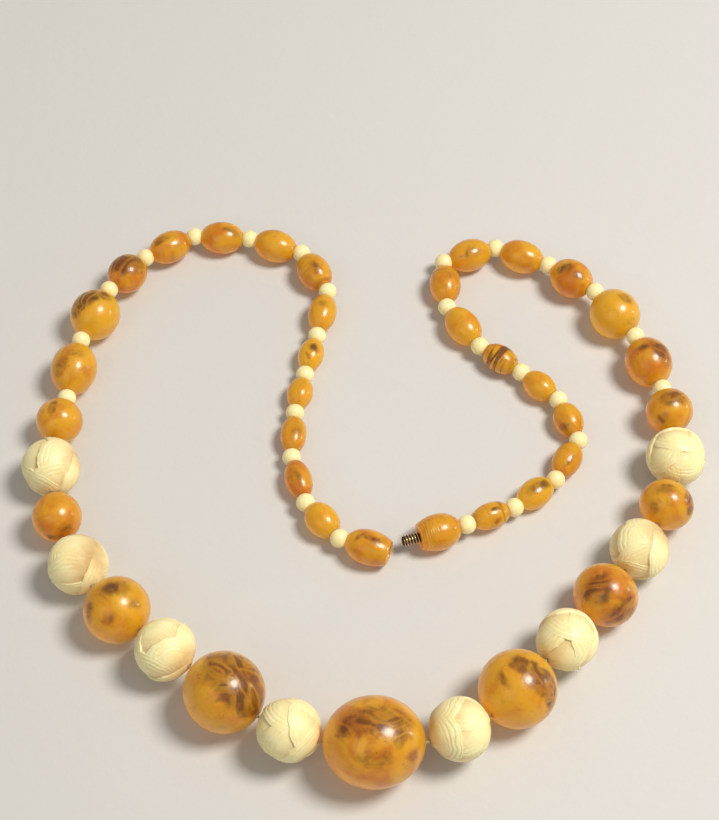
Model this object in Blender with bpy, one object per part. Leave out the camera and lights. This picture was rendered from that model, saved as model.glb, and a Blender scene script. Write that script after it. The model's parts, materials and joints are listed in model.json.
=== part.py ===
"""Misbaha prayer beads: a graduated strand of bored ovals, carved rounds and small spacers.

The strand lies in one open loop on a level surface and ends in the two halves of a screw clasp.
It is laid out from the centre bead outwards, left and right. Each link turns on the pivot that it
shares with the link before it: the middle of a spacer, or the point where two large beads meet.
Dimensions are in millimetres until they reach a mesh, which is in metres, +Z up.
"""

import math

import bmesh
import bpy
from mathutils import Matrix, Vector

MM = 0.001

# Beads, as (length from rim to rim, diameter), counted outwards from the centre bead.
CENTRE_OVAL = (24.6, 22.2)
LEFT_OVALS = [
    (20.2, 19.8), (16.6, 17.0), (13.0, 12.8), (11.9, 12.4),
    (14.6, 12.4), (14.2, 13.6), (11.4, 10.6), (11.8, 9.0), (11.8, 9.2), (11.8, 9.2),
    (11.4, 9.2), (10.8, 7.8), (9.0, 7.0), (8.6, 7.0), (10.0, 7.0), (10.6, 7.2), (10.0, 8.4),
]
RIGHT_OVALS = [
    (19.4, 19.4), (15.4, 16.6), (12.7, 14.2), (11.9, 12.6),
    (13.8, 12.6), (14.0, 13.6), (12.2, 10.6), (12.0, 9.2), (11.8, 9.2), (11.4, 8.8),
    (11.8, 9.0), (9.8, 7.6), (9.2, 7.6), (9.6, 7.8), (9.8, 7.6), (10.0, 7.8), (9.8, 7.0),
]
CARVED_DIAMETER = 16.0
CARVED_PER_SIDE = 4
SPACER_DIAMETER = 5.0

# The thread and the holes that it runs through.
THREAD_RADIUS = 0.4
BORE_RADIUS = 1.0

# Distance along the strand from a pivot to the rim of the bead beside it. A bead beside a spacer
# has a cup in its end, round the middle of the spacer that sits in it.
SEAT_AT_SPACER = 2.0
SEAT_AT_CONTACT = 0.4
CUP_RADIUS = 2.75
CUP_RIM = math.sqrt(CUP_RADIUS**2 - SEAT_AT_SPACER**2)
CUP_DEPTH = math.sqrt(CUP_RADIUS**2 - BORE_RADIUS**2) - SEAT_AT_SPACER

# Screw clasp: (length, largest diameter, diameter of the flat end).
SOCKET_HALF = (11.6, 9.2, 7.4)
PLUG_HALF = (11.0, 9.6, 7.8)
CLASP_EDGE = 0.4
CLASP_WIDEST = 0.52
SOCKET_HOLE = (1.9, 6.0)
STUD_SEAT = (1.8, 3.4)
STUD_CREST_RADIUS = 1.5
STUD_ROOT_RADIUS = 1.2
STUD_LENGTH = 7.6
STUD_STANDS_OUT = 4.5
STUD_RIDGES = 10
STUD_HOLE_RADIUS = 0.6

# The loop's route, seen from above, outwards from the centre bead's two rims.
CENTRE_PLACE = (2.0, -74.5)
LEFT_ROUTE = [
    (-26.0, -67.5), (-42.5, -55.0), (-56.0, -44.5), (-68.5, -32.5), (-77.0, -19.5),
    (-81.5, -6.0), (-82.5, 11.0), (-80.5, 25.0), (-78.0, 44.0), (-71.5, 61.0), (-62.5, 73.0),
    (-49.5, 81.0), (-34.0, 80.5), (-19.0, 76.0), (-10.5, 62.0), (-13.0, 48.5), (-18.5, 25.0),
    (-19.5, 8.0), (-16.0, -5.0), (-7.5, -16.0), (6.5, -21.0),
]
RIGHT_ROUTE = [
    (30.0, -67.5), (44.0, -53.0), (55.5, -40.5), (65.5, -28.0), (75.0, -14.5), (81.0, -2.0),
    (82.5, 14.0), (80.0, 30.0), (74.5, 45.0), (64.5, 60.0), (52.0, 70.5), (37.5, 77.0),
    (22.5, 72.0), (23.0, 56.5), (32.0, 43.0), (43.0, 35.0), (52.5, 26.0), (57.0, 13.0),
    (50.0, 1.0), (39.0, -7.0), (26.5, -12.5), (11.5, -17.0),
]
ROUTE_STEPS = 24

LARGE_SEGMENTS, LARGE_BANDS = 20, 10
SMALL_SEGMENTS, SMALL_BANDS = 16, 8
SPACER_SEGMENTS, SPACER_BANDS = 14, 7
LARGE_FROM = 12.0

COLOURS = {
    "amber_honey": ((0.62, 0.27, 0.02), 0.18, 0.0),
    "amber_smoky": ((0.36, 0.12, 0.02), 0.20, 0.0),
    "cream": ((0.92, 0.82, 0.52), 0.35, 0.0),
    "old_brass": ((0.32, 0.22, 0.10), 0.45, 1.0),
}


# ---------------------------------------------------------------- outlines, as (along, radius)

def arc(start, end, bands, along, radius, middle=0.0):
    """Points of an elliptical arc whose half axes are along and radius."""
    angles = [start + (end - start) * n / bands for n in range(bands + 1)]
    return [(middle - along * math.cos(a), radius * math.sin(a)) for a in angles]


def oval_outline(length, diameter, cups=(False, False)):
    """A bored oval from rim to rim, then its cups. Joining its last point to its first closes it."""
    radius = diameter / 2
    first, last = (math.asin((CUP_RIM if cup else BORE_RADIUS) / radius) for cup in cups)
    half_axis = length / (math.cos(first) + math.cos(last))
    bands = LARGE_BANDS if diameter >= LARGE_FROM else SMALL_BANDS
    outside = arc(first, math.pi - last, bands, half_axis, radius, half_axis * math.cos(first))
    bottoms = [(length - CUP_DEPTH, BORE_RADIUS)] * cups[1] + [(CUP_DEPTH, BORE_RADIUS)] * cups[0]
    return outside + bottoms


def pair_outline(reach):
    """Two spacers reach apart on their stretch of thread, from pole to pole."""
    radius = SPACER_DIAMETER / 2
    meet = math.asin(THREAD_RADIUS / radius)
    near = arc(0.0, math.pi - meet, SPACER_BANDS, radius, radius)
    far = arc(meet, math.pi, SPACER_BANDS, radius, radius, reach)
    near[0] = (-radius, 0.0)
    far[-1] = (reach + radius, 0.0)
    return near + far


def clasp_outline(length, diameter, flat, hole):
    """A clasp half: rounded and cupped at its thread end, flat at its far end, with a blind hole."""
    radius = diameter / 2
    widest = length * CLASP_WIDEST
    first = math.asin(CUP_RIM / radius)
    shoulder = length - CLASP_EDGE
    hole_radius, depth = hole
    back = arc(first, math.pi / 2, 4, widest / math.cos(first), radius, widest)
    front_axis = (shoulder - widest) / math.sqrt(1 - (flat / diameter) ** 2)
    last = math.pi - math.asin(flat / diameter)
    front = arc(math.pi / 2, last, 3, front_axis, radius, widest)[1:]
    end = [
        (length, flat / 2 - CLASP_EDGE),
        (length, hole_radius),
        (length - depth, hole_radius),
        (length - depth, BORE_RADIUS),
        (CUP_DEPTH, BORE_RADIUS),
    ]
    return back + front + end


def stud_outline():
    """The brass stud, with its thread as plain ridges and a hole through it for the cord."""
    pitch = STUD_LENGTH / STUD_RIDGES
    points = [(0.0, STUD_HOLE_RADIUS)]
    for ridge in range(STUD_RIDGES):
        points.append((ridge * pitch, STUD_ROOT_RADIUS))
        points.append(((ridge + 0.5) * pitch, STUD_CREST_RADIUS))
    points.append((STUD_LENGTH, STUD_ROOT_RADIUS))
    points.append((STUD_LENGTH, STUD_HOLE_RADIUS))
    return points


# ---------------------------------------------------------------- the strand's layout

def smooth_route(points):
    """A smooth curve through the points, as closely spaced places."""
    spots = [Vector(p) for p in points]
    spots = [2 * spots[0] - spots[1]] + spots + [2 * spots[-1] - spots[-2]]
    places = []
    for a, b, c, d in zip(spots, spots[1:], spots[2:], spots[3:]):
        for n in range(ROUTE_STEPS):
            t = n / ROUTE_STEPS
            bent = (c - a) * t + (2 * a - 5 * b + 4 * c - d) * t**2 + (3 * b - a - 3 * c + d) * t**3
            places.append(b + bent / 2)
    return places + [spots[-2]]


def step_along(places, reach, start, first):
    """The next place on the route that is reach from start, and the run of the route it lies on."""
    for n in range(first, len(places) - 1):
        if (places[n + 1] - start).length >= reach:
            break
    run = (places[n + 1] - places[n]).normalized()
    offset = places[n] - start
    along = offset.dot(run)
    on = -along + math.sqrt(along**2 - offset.length_squared + reach**2)
    return places[n] + run * on, n


def side_links(side, ovals, clasp, clasp_name):
    """The links of one side, outwards: each link's kind, name, reach and the radius it rests on."""
    links = []
    carved_reach = 2 * math.sqrt((CARVED_DIAMETER / 2) ** 2 - BORE_RADIUS**2) + 2 * SEAT_AT_CONTACT
    for number, (length, diameter) in enumerate(ovals, start=1):
        name = f"{side}_oval_bead_{number}"
        beside_carved = number <= CARVED_PER_SIDE
        if beside_carved:
            carved = f"{side}_carved_bead_{number}"
            links.append(("carved", carved, carved_reach, CARVED_DIAMETER / 2, None))
        inner = SEAT_AT_CONTACT if beside_carved else SEAT_AT_SPACER
        outer = SEAT_AT_CONTACT if number < CARVED_PER_SIDE else SEAT_AT_SPACER
        # every second oval past the carved beads spins between a pair of spacers
        paired = not beside_carved and (number - CARVED_PER_SIDE) % 2 == 1
        kind = "paired" if paired else "oval"
        cups = (inner == SEAT_AT_SPACER, outer == SEAT_AT_SPACER)
        bead = (inner, length, diameter, cups)
        links.append((kind, name, inner + length + outer, diameter / 2, bead))
    length, diameter, _ = clasp
    links.append(("clasp", clasp_name, SEAT_AT_SPACER + length, diameter / 2, None))
    return links


def pivots_of(links, route, start, centre_radius):
    """The pivots of one side, outwards. Each is as high as the thicker of the two beads beside it."""
    places = smooth_route([start] + route)
    spot, run = places[0], 0
    radii = [centre_radius] + [link[3] for link in links]
    pivots = [spot.to_3d()]
    for link in links:
        spot, run = step_along(places, link[2], spot, run)
        pivots.append(spot.to_3d())
    for n, pivot in enumerate(pivots):
        pivot.z = max(radii[n : n + 2])
    return pivots


def along_matrix(start, end):
    """A frame at start whose X axis points at end and whose Z axis points up."""
    x = (end - start).normalized()
    y = Vector((0, 0, 1)).cross(x).normalized()
    frame = Matrix((x, y, x.cross(y))).transposed().to_4x4()
    frame.translation = start * MM
    return frame


# ---------------------------------------------------------------- making the pieces

def make_material(name):
    colour, roughness, metallic = COLOURS[name]
    material = bpy.data.materials.new(name)
    material.use_nodes = True
    shader = material.node_tree.nodes["Principled BSDF"]
    shader.inputs["Base Color"].default_value = (*colour, 1.0)
    shader.inputs["Roughness"].default_value = roughness
    shader.inputs["Metallic"].default_value = metallic
    return material


def turned_mesh(name, outline, segments, offset=0.0):
    """The outline turned about X. It closes on itself, or on the axis where its radius is 0."""
    bm = bmesh.new()
    rings = []
    for along, radius in outline:
        x = (along + offset) * MM
        if radius == 0.0:
            rings.append([bm.verts.new((x, 0.0, 0.0))] * segments)
            continue
        ring = []
        for n in range(segments):
            angle = 2 * math.pi * n / segments
            y, z = -math.sin(angle) * radius * MM, -math.cos(angle) * radius * MM
            ring.append(bm.verts.new((x, y, z)))
        rings.append(ring)
    ends_on_axis = outline[0][1] == 0.0
    joins = zip(rings, rings[1:]) if ends_on_axis else zip(rings, rings[1:] + rings[:1])
    for ring, following in joins:
        for n in range(segments):
            m = (n + 1) % segments
            corners = dict.fromkeys((ring[n], ring[m], following[m], following[n]))
            bm.faces.new(corners)
    bmesh.ops.recalc_face_normals(bm, faces=bm.faces)
    mesh = bpy.data.meshes.new(name)
    bm.to_mesh(mesh)
    bm.free()
    mesh.shade_smooth()
    mesh.set_sharp_from_angle(angle=math.radians(40))
    return mesh


class Strand:
    """The pieces, each with its origin on its own pivot and parented to the piece it turns on."""

    def __init__(self):
        self.root = bpy.data.objects.new("strand", None)
        bpy.context.scene.collection.objects.link(self.root)
        self.materials = {name: make_material(name) for name in COLOURS}
        self.frames = {self.root: Matrix.Identity(4)}

    def add(self, name, outline, segments, material, frame, parent, offset=0.0):
        mesh = turned_mesh(name, outline, segments, offset)
        mesh.materials.append(self.materials[material])
        piece = bpy.data.objects.new(name, mesh)
        bpy.context.scene.collection.objects.link(piece)
        piece.parent = parent
        piece.matrix_parent_inverse = self.frames[parent].inverted()
        piece.matrix_basis = frame
        self.frames[piece] = frame.copy()
        return piece

    def centre(self):
        """Put the middle of the loop's outline over the origin and its lowest point on the ground."""
        corners = [frame @ Vector(corner) for piece, frame in self.frames.items()
                   if piece is not self.root for corner in (v.co for v in piece.data.vertices)]
        low = Vector(min(c[axis] for c in corners) for axis in range(3))
        high = Vector(max(c[axis] for c in corners) for axis in range(3))
        middle = (low + high) / 2
        self.root.location = (-middle.x, -middle.y, -low.z)


def amber_for(diameter):
    """The thick ovals are the smoky ones."""
    return "amber_smoky" if diameter >= LARGE_FROM else "amber_honey"


def add_oval(strand, name, size, frame, parent, inner, cups=(False, False)):
    length, diameter = size
    segments = LARGE_SEGMENTS if diameter >= LARGE_FROM else SMALL_SEGMENTS
    outline = oval_outline(length, diameter, cups)
    return strand.add(name, outline, segments, amber_for(diameter), frame, parent, inner)


def add_side(strand, side, ovals, clasp, clasp_name, route, start, centre_bead):
    """One side of the strand. Returns its clasp half and the frame that the half was placed with."""
    links = side_links(side, ovals, clasp, clasp_name)
    pivots = pivots_of(links, route, start, CENTRE_OVAL[1] / 2)
    parent = centre_bead
    pairs = 0
    for link, near, far in zip(links, pivots, pivots[1:]):
        kind, name, reach, _, bead = link
        frame = along_matrix(near, far)
        rise = (far - near).length - reach
        if kind == "carved":
            length = reach - 2 * SEAT_AT_CONTACT
            outline = oval_outline(length, CARVED_DIAMETER)
            inner = SEAT_AT_CONTACT + rise / 2
            parent = strand.add(name, outline, LARGE_SEGMENTS, "cream", frame, parent, inner)
        elif kind == "oval":
            inner, length, diameter, cups = bead
            inner += rise / 2
            parent = add_oval(strand, name, (length, diameter), frame, parent, inner, cups)
        elif kind == "paired":
            pairs += 1
            outline = pair_outline(reach + rise)
            pair_name = f"{side}_spacer_pair_{pairs}"
            parent = strand.add(pair_name, outline, SPACER_SEGMENTS, "cream", frame, parent)
            inner, length, diameter, cups = bead
            add_oval(strand, name, (length, diameter), frame, parent, inner + rise / 2, cups)
        else:
            hole = SOCKET_HOLE if clasp is SOCKET_HALF else STUD_SEAT
            outline = clasp_outline(*clasp, hole)
            parent = strand.add(name, outline, SMALL_SEGMENTS, "amber_honey", frame, parent,
                                SEAT_AT_SPACER)
    return parent, frame


def build():
    for thing in list(bpy.data.objects):
        bpy.data.objects.remove(thing)
    strand = Strand()

    length, diameter = CENTRE_OVAL
    half_reach = length / 2 + SEAT_AT_CONTACT
    middle = Vector((*CENTRE_PLACE, diameter / 2))
    right_end = middle + Vector((half_reach, 0, 0))
    left_end = middle - Vector((half_reach, 0, 0))
    frame = along_matrix(left_end, right_end)
    centre_bead = add_oval(strand, "centre_bead", CENTRE_OVAL, frame, strand.root, SEAT_AT_CONTACT)

    add_side(strand, "left", LEFT_OVALS, SOCKET_HALF, "clasp_socket_half", LEFT_ROUTE,
             left_end.to_2d(), centre_bead)
    plug, plug_frame = add_side(strand, "right", RIGHT_OVALS, PLUG_HALF, "clasp_plug_half",
                                RIGHT_ROUTE, right_end.to_2d(), centre_bead)
    plug_end = SEAT_AT_SPACER + PLUG_HALF[0]
    strand.add("clasp_screw_stud", stud_outline(), SMALL_SEGMENTS, "old_brass", plug_frame, plug,
               plug_end + STUD_STANDS_OUT - STUD_LENGTH)
    strand.centre()


build()
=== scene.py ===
"""Looks of a graduated strand of amber-coloured prayer beads, laid in an open loop.

Every bead, spacer and clasp half is made afresh, finer than its CAD node, in its node's place.
Lengths are in metres.
"""

import json
import math

import bmesh
import bpy
import numpy as np
from mathutils import Matrix, Vector

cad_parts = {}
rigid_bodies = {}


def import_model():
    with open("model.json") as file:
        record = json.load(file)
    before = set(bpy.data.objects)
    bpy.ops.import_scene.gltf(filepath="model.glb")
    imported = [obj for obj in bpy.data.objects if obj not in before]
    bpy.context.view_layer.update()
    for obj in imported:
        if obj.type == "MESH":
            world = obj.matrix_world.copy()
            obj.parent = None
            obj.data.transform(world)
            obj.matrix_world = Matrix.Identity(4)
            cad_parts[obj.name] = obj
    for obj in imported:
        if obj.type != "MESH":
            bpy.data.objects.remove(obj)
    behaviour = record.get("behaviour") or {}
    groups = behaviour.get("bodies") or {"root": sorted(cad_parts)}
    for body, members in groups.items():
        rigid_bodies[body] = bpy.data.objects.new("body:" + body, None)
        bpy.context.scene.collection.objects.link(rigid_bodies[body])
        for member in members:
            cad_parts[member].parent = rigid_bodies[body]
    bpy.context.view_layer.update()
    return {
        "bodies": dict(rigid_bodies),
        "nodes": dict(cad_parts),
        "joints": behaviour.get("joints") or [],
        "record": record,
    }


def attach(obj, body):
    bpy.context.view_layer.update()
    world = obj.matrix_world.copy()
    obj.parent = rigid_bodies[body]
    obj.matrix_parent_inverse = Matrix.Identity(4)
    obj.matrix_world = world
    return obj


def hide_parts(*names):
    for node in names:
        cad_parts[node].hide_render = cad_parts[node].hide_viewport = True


PI = math.pi
MM = 0.001
UP = Vector((0, 0, 1))

# the strand
BORE = 0.62 * MM
SPACER_BORE = 0.6 * MM
SPACER_RADIUS = 2.5 * MM
OVAL_UNEVEN = 0.10 * MM
SPACER_UNEVEN = 0.05 * MM
LARGE_FROM = 11.99 * MM  # an oval this thick or thicker has the smoky finish
CUP_RADIUS = 2.58 * MM
CUPPED_FROM = 1.5 * MM  # a rim farther than this from its pivot faces a spacer
ROWS_OUTSIDE = 0.8  # of the rows of an oval or a spacer, the rest line its bore
CARVED_ROWS_OUTSIDE = 0.9
CUP_ROWS = 0.35  # of the rows in a bore, for the cup at either end
NEXT_ROW = 1e-4

# the carved rounds
PETALS = 11
PETAL_REACH = 1.06  # how far a petal reaches from its middle, on a round of radius 1
PETAL_EDGE = 0.03  # how wide the step down from a petal's edge is
PETAL_LIFT = 0.40 * MM
PETAL_TILT = 0.75 * MM
LAYER_DEPTH = 0.19 * MM
LAYER_STEP = 0.13
BORE_SINK = 0.22 * MM  # how far the ring round the bore lies below the petals' tops
DEEPEST = 1.1 * MM

# the thread
THREAD_RADIUS = 0.36 * MM
THREAD_PLIES = 3
PLY_RADIUS, PLY_OFF = 0.53, 0.5  # on a thread of radius 1
THREAD_LAY = 1.7 * MM
THREAD_PULL = 2.4 * MM
THREAD_STEPS = 24
THREAD_STEP = 0.15 * MM

# the clasp
CLASP_EDGE = 0.4 * MM
CLASP_WIDEST = 0.52
SOCKET_HOLE = (1.9 * MM, 6.0 * MM)  # radius and depth
PLUG_SEAT = (1.8 * MM, 3.4 * MM)
HOLE_LIP = 0.12 * MM
PLUG_FLAT = 7.2 * MM
SOCKET_FLAT = 6.6 * MM
SCREW_PITCH = 0.76 * MM
CLASP_SECTORS = 72
CUT_PITCH, CUT_DEPTH, CUTS_REACH = 0.62 * MM, 0.10 * MM, 6.0 * MM
SOCKET_KNOT = (0.62 * MM, 0.34 * MM, 5.1 * MM)  # coil, thickness, and how far from the flat end
PLUG_KNOT = (0.30 * MM, 0.26 * MM, -3.4 * MM)
KNOT_TURNS = 2.6
STUD_CREST, STUD_ROOT, STUD_BORE = 1.5 * MM, 1.18 * MM, 0.6 * MM
STUD_LENGTH, STUD_STANDS_OUT = 7.6 * MM, 4.5 * MM
SCREW_ROWS_OUTSIDE = 0.9
SCREW_END = 0.84  # how wide a screw's chamfered end is, on a root of radius 1

# where the strand is looked at from, and how the light falls on it
CAMERA_TARGET = (-0.0013, 0.0255, 0.0)
CAMERA_DISTANCE = 0.4826
CAMERA_ELEVATION = math.radians(58.11)
FIELD_HEIGHT = math.radians(26.1)
FLOOR_HALF_SIZE = 6.0
TO_CAMERA = Vector((0, -math.cos(CAMERA_ELEVATION), math.sin(CAMERA_ELEVATION)))
SEEN_RIGHT = Vector((1, 0, 0))
SEEN_UP = TO_CAMERA.cross(SEEN_RIGHT)
KEY_WAY = Vector((0.47, 0.02, 0.88)).normalized()
# the painted glow, emitted light standing in for key light that passes through the amber, fades in
# between these two
LIT_FROM, LIT_FULL = -0.35, 0.85  # how far round from the key light the amber starts to glow


# ---------------------------------------------------------------- wiring of node trees

class Value:
    """An output of a node. Sums with it add Math nodes."""

    def __init__(self, wiring, socket):
        self.wiring, self.socket = wiring, socket

    def math(self, operation, *numbers):
        return self.wiring.add("ShaderNodeMath", {"operation": operation}, *numbers)

    def __add__(self, other):
        return self.math("ADD", self, other)

    def __sub__(self, other):
        return self.math("SUBTRACT", self, other)

    def __rsub__(self, other):
        return self.math("SUBTRACT", other, self)

    def __mul__(self, other):
        return self.math("MULTIPLY", self, other)

    def __truediv__(self, other):
        return self.math("DIVIDE", self, other)

    def __rtruediv__(self, other):
        return self.math("DIVIDE", other, self)

    def __pow__(self, other):
        return self.math("POWER", self, other)

    __radd__ = __add__
    __rmul__ = __mul__

    def least(self, other):
        return self.math("MINIMUM", self, other)

    def most(self, other):
        return self.math("MAXIMUM", self, other)

    def held(self):
        return self.math("MINIMUM", self.math("MAXIMUM", self, 0.0), 1.0)

    def above(self, other):
        return self.math("GREATER_THAN", self, other)

    def unsigned(self):
        return self.math("ABSOLUTE", self)

    def part(self):
        return self.math("FRACT", self)

    def sine(self):
        return self.math("SINE", self)

    def cosine(self):
        return self.math("COSINE", self)

    def arcsine(self):
        return self.math("ARCSINE", self)

    def rise(self, start, end):
        """0 before start and 1 after end, smoothly in between. Start may be the higher one."""
        low, high = (start, end) if start < end else (end, start)
        settings = {"interpolation_type": "SMOOTHSTEP"}
        bounds = (low, high, 0.0, 1.0) if start < end else (low, high, 1.0, 0.0)
        return self.wiring.add("ShaderNodeMapRange", settings, self, *bounds)


class Wiring:
    """Adds nodes to one tree."""

    def __init__(self, tree):
        self.tree = tree

    def add(self, kind, settings, *values, output=0, **named):
        """A node of that kind. Its settings come first, then its sockets, in order or by name."""
        node = self.tree.nodes.new(kind)
        for name, setting in settings.items():
            setattr(node, name, setting)
        sockets = [socket for socket in node.inputs if socket.enabled]
        for socket, value in zip(sockets, values):
            self.connect(socket, value)
        for name, value in named.items():
            wanted = name.replace("_", " ")
            self.connect(next(s for s in sockets if s.name == wanted), value)
        outputs = [socket for socket in node.outputs if socket.enabled]
        return Value(self, outputs[output]) if outputs else node

    def connect(self, socket, value):
        if isinstance(value, Value):
            self.tree.links.new(value.socket, socket)
        elif value is not None:
            socket.default_value = value

    def split(self, vector):
        node = self.tree.nodes.new("ShaderNodeSeparateXYZ")
        self.connect(node.inputs[0], vector)
        return [Value(self, socket) for socket in node.outputs]

    def join(self, x, y, z):
        return self.add("ShaderNodeCombineXYZ", {}, x, y, z)

    def vector(self, operation, *values, **named):
        return self.add("ShaderNodeVectorMath", {"operation": operation}, *values, **named)

    def scaled(self, vector, factor):
        return self.vector("SCALE", vector, Scale=factor)

    def noise(self, place, scale, detail=2.0, roughness=0.5, distortion=0.0):
        return self.add("ShaderNodeTexNoise", {"noise_dimensions": "3D"}, Vector=place, Scale=scale,
                        Detail=detail, Roughness=roughness, Distortion=distortion)


# ---------------------------------------------------------------- Geometry Nodes

class Shaping(Wiring):
    """A Geometry Nodes tree with named sizes. It ends in real faces with a material."""

    def __init__(self, name, sizes):
        super().__init__(bpy.data.node_groups.new(name, "GeometryNodeTree"))
        sides = self.tree.interface
        sides.new_socket("Geometry", in_out="OUTPUT", socket_type="NodeSocketGeometry")
        for size, kind in {"Geometry": "Geometry", **sizes, "Finish": "Material"}.items():
            sides.new_socket(size, in_out="INPUT", socket_type=f"NodeSocket{kind}")
        entry = self.tree.nodes.new("NodeGroupInput")
        self.given = {s.name: Value(self, s) for s in entry.outputs if s.name}

    def keep(self, geometry, name, value):
        settings = {"data_type": "FLOAT", "domain": "POINT"}
        return self.add("GeometryNodeStoreNamedAttribute", settings, geometry, None, name, value)

    def turned_grid(self, rows, sectors):
        """A sheet to be wound round the bore, with each spot's share of the outline and its turn."""
        sheet = self.add("GeometryNodeMeshGrid", {}, 1.0, 1.0, rows + 1, sectors + 1)
        place = self.add("GeometryNodeInputPosition", {})
        x, y, _ = self.split(place)
        return sheet, x + 0.5, (y + 0.5) * (2 * PI)

    def wind(self, sheet, along, radius, turn):
        """The sheet wound round X, and closed."""
        place = self.join(along, turn.cosine() * radius, turn.sine() * radius)
        wound = self.add("GeometryNodeSetPosition", {}, sheet, None, place)
        return self.add("GeometryNodeMergeByDistance", {}, wound, Distance=1e-7)

    def end(self, geometry):
        smooth = self.add("GeometryNodeSetShadeSmooth", {}, geometry)
        real = self.add("GeometryNodeRealizeInstances", {}, smooth)
        finished = self.add("GeometryNodeSetMaterial", {}, real, Material=self.given["Finish"])
        leave = self.tree.nodes.new("NodeGroupOutput")
        self.tree.links.new(finished.socket, leave.inputs[0])
        return self.tree


def shaped(name, tree, sizes, start=None):
    """A plain mesh object of what the tree makes with these sizes."""
    host = bpy.data.objects.new(name, start or bpy.data.meshes.new(name))
    bpy.context.scene.collection.objects.link(host)
    modifier = host.modifiers.new("shape", "NODES")
    modifier.node_group = tree
    for item in tree.interface.items_tree:
        if item.in_out == "INPUT" and item.name in sizes:
            modifier[item.identifier] = sizes[item.name]
    graph = bpy.context.evaluated_depsgraph_get()
    mesh = bpy.data.meshes.new_from_object(host.evaluated_get(graph))
    host.modifiers.remove(modifier)
    host.data = mesh
    mesh.name = name
    return host


def outward(mesh):
    """Point the faces of a closed mesh outwards."""
    bm = bmesh.new()
    bm.from_mesh(mesh)
    bmesh.ops.recalc_face_normals(bm, faces=bm.faces)
    bm.to_mesh(mesh)
    bm.free()


def bored_outline(tree, u, share, near_rim, far_rim):
    """A bored oval's outline: its outside while u is below share, then back down its bore.

    A rim wider than the bore has a round cup in it. Returns how far along and how far out the
    outline is, and 1 on its outside.
    """
    length, radius, bore = (tree.given[size] for size in ("Length", "Radius", "Bore"))
    first = (near_rim / radius).arcsine()
    last = (far_rim / radius).arcsine()
    half_axis = length / (first.cosine() + last.cosine())
    swing = first + (PI - first - last) * (u / share).least(1.0)
    outside_along = half_axis * (first.cosine() - swing.cosine()) - length / 2

    inside = ((u - share) / (1 - share)).most(0.0)
    in_far_cup = (1 - inside / CUP_ROWS).most(0.0)
    in_near_cup = ((inside - (1 - CUP_ROWS)) / CUP_ROWS).most(0.0)
    back = ((inside - CUP_ROWS) / (1 - 2 * CUP_ROWS)).held()
    hollow = bore + (far_rim - bore) * in_far_cup + (near_rim - bore) * in_near_cup
    deep = (CUP_RADIUS**2 - hollow * hollow) ** 0.5
    far_deep = deep - (CUP_RADIUS**2 - far_rim * far_rim) ** 0.5
    near_deep = deep - (CUP_RADIUS**2 - near_rim * near_rim) ** 0.5
    hollow_along = (length / 2 - far_deep) * (1 - back) + (near_deep - length / 2) * back

    is_hollow = u.above(share + NEXT_ROW)
    along = outside_along * (1 - is_hollow) + hollow_along * is_hollow
    out = swing.sine() * radius * (1 - is_hollow) + hollow * is_hollow
    return along, out, 1 - is_hollow


def make_bead_tree(name, rows, sectors):
    """A smooth bored bead, a little uneven as if tumbled."""
    sizes = ("Length", "Radius", "Bore", "Near Rim", "Far Rim", "Uneven", "Seed")
    tree = Shaping(name, dict.fromkeys(sizes, "Float"))
    given = tree.given
    sheet, u, turn = tree.turned_grid(rows, sectors)
    share = ROWS_OUTSIDE
    along, out, _ = bored_outline(tree, u, share, given["Near Rim"], given["Far Rim"])
    spot = tree.join(along, turn.cosine() * out, turn.sine() * out)
    moved = tree.vector("ADD", spot, tree.join(given["Seed"], given["Seed"], 0.0))
    swell = tree.noise(moved, 0.55 / given["Radius"], 1.0) - 0.5
    off_rims = u.rise(0.0, share * 0.15) * u.rise(share, share * 0.85)
    out = out + swell * given["Uneven"] * 2 * off_rims
    return tree.end(tree.wind(sheet, along, out, turn))


def petal_middles(count):
    """Evenly spread directions, from one pole to the other."""
    turn = PI * (3 - math.sqrt(5))
    for n in range(count):
        x = 1 - (2 * n + 1) / count
        flat = math.sqrt(1 - x * x)
        yield Vector((x, flat * math.cos(n * turn), flat * math.sin(n * turn)))


def make_carved_tree(name, rows, sectors):
    """A bored round carved in overlapping petals, each with cut lines that follow its edge."""
    sizes = {"Length": "Float", "Radius": "Float", "Bore": "Float", "Turn": "Vector"}
    tree = Shaping(name, sizes)
    given = tree.given
    sheet, u, turn = tree.turned_grid(rows, sectors)
    bore = given["Bore"]
    along, out, outside = bored_outline(tree, u, CARVED_ROWS_OUTSIDE, bore, bore)
    spot = tree.join(along, turn.cosine() * out, turn.sine() * out)
    facing = tree.vector("NORMALIZE", spot)
    settings = {"rotation_type": "EULER_XYZ"}
    facing = tree.add("ShaderNodeVectorRotate", settings, facing, Rotation=given["Turn"])
    wobble = tree.noise(facing, 2.2, 1.0) * 0.16 - 0.08
    height = None
    for middle in petal_middles(PETALS):
        swirl = middle.cross(Vector((1, 0.3, 0))).normalized()
        lean = (swirl + middle.cross(swirl) * 0.7).normalized()
        reach = tree.vector("DISTANCE", facing, tuple(middle)) + wobble
        tilt = tree.vector("DOT_PRODUCT", facing, tuple(lean))
        step = reach.rise(PETAL_REACH + PETAL_EDGE, PETAL_REACH)
        layer = (reach / LAYER_STEP).part() ** 3.0
        layer = layer * reach.rise(PETAL_REACH * 0.42, PETAL_REACH * 0.75) * tilt.rise(-0.1, 0.45)
        petal = tilt * PETAL_TILT + step * PETAL_LIFT * 2 - layer * LAYER_DEPTH
        height = petal if height is None else height.most(petal)
    highest = PETAL_LIFT * 2 + PETAL_TILT * 0.9
    depth = (height - highest).least(0.0)
    off_bore = (out / given["Radius"]).rise(0.10, 0.42) * outside
    out_share = 1 + ((depth + BORE_SINK) * off_bore - BORE_SINK) / given["Radius"]
    sheet = tree.keep(sheet, "recess", (depth / -DEEPEST).held())
    return tree.end(tree.wind(sheet, along * out_share, out * out_share, turn))


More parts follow.
